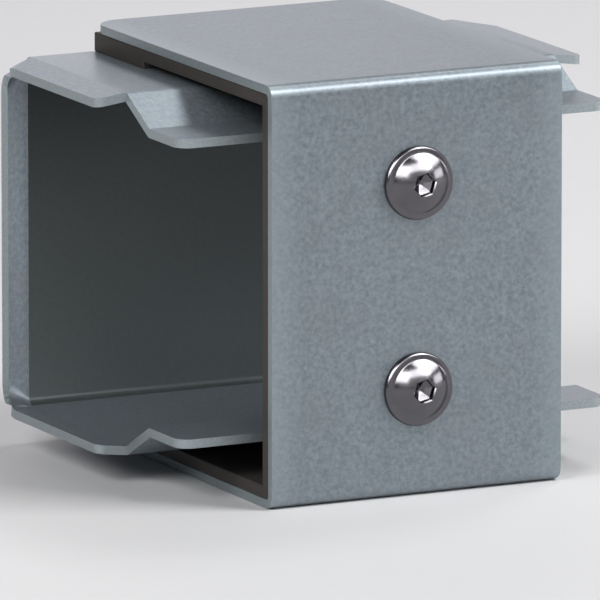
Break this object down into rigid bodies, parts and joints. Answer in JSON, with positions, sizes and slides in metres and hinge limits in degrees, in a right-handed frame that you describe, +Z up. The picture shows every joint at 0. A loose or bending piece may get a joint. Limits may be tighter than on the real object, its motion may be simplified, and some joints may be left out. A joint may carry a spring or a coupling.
{
  "type": "trunking coupler",
  "caption": "Coupler for square steel cable trunking: a folded channel slides into both ends and a lined cover clamps over the joint.",
  "frame": {"origin": "middle of the cover's bottom face, on which the coupler stands", "axes": "+X along the trunking run, -Y out of the cover's front face, +Z up along the cover's height"},
  "size_m": [0.0717, 0.0575, 0.056],
  "materials": {
    "galvanised_sheet": "galvanised, fine matt spangle",
    "gasket_rubber": "matt moulded rubber",
    "screw_steel": "polished stainless steel",
    "bar_steel": "zinc-plated flat bar"
  },
  "bodies": {
    "root": {"channel": "galvanised_sheet", "cover": "galvanised_sheet", "gasket": "gasket_rubber", "screw_upper": "screw_steel", "screw_lower": "screw_steel", "clamp_bar": "bar_steel"}
  },
  "joints": []
}
